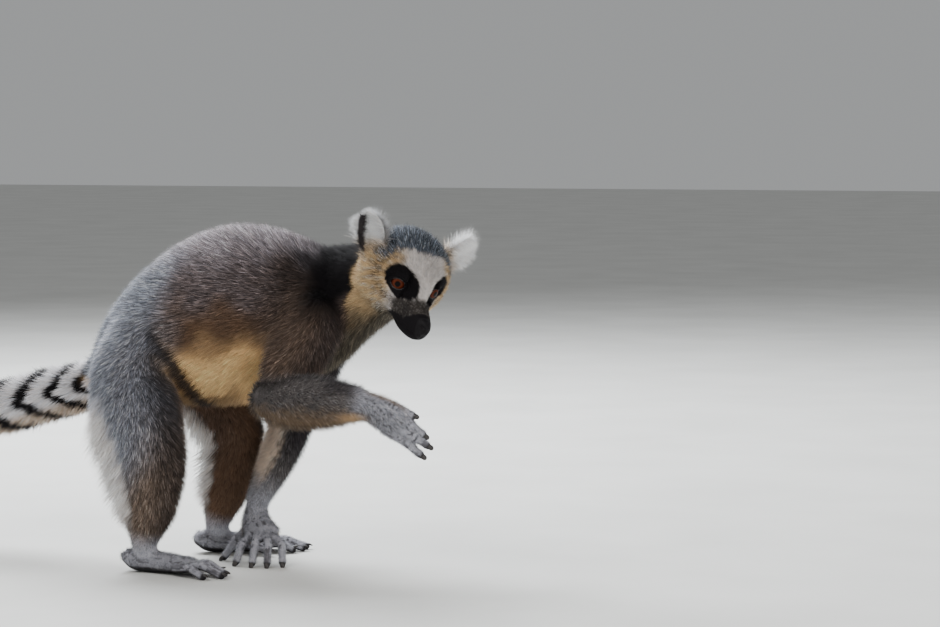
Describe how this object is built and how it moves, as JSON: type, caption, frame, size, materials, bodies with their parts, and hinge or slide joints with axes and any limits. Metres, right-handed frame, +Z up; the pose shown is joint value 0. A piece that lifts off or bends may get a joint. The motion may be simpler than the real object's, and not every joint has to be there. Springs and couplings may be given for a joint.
{
  "type": "ring-tailed lemur",
  "caption": "Still model of a ring-tailed lemur, paused on its hind feet and one hand with the other hand reaching out and its banded tail raised.",
  "frame": {"origin": "on the floor under the middle of the bounding box", "axes": "+X is the way the lemur walks, +Y is towards its left side, +Z is up"},
  "size_m": [0.598, 0.2108, 0.5299],
  "materials": {
    "coat_grey": "thick soft grey fur over flesh",
    "coat_white": "soft creamy white fur over flesh",
    "coat_ringed": "deep loose fur in black and white bands",
    "bare_skin": "dark leathery skin with short pale fur on the backs",
    "eye": "glossy orange eye"
  },
  "bodies": {
    "root": {"trunk": "coat_grey", "thigh_right": "coat_grey", "thigh_left": "coat_grey", "shank_right": "coat_grey", "shank_left": "coat_grey", "upper_arm_right": "coat_grey", "upper_arm_left": "coat_grey", "forearm_right": "coat_grey", "forearm_left": "coat_grey", "head": "coat_white", "neck": "coat_white", "ear_right": "coat_white", "ear_left": "coat_white", "tail_1": "coat_ringed", "tail_2": "coat_ringed", "tail_3": "coat_ringed", "tail_4": "coat_ringed", "tail_5": "coat_ringed", "nose": "bare_skin", "hand_right": "bare_skin", "hand_left": "bare_skin", "foot_right": "bare_skin", "foot_left": "bare_skin", "eye_right": "eye", "eye_left": "eye"}
  },
  "joints": []
}
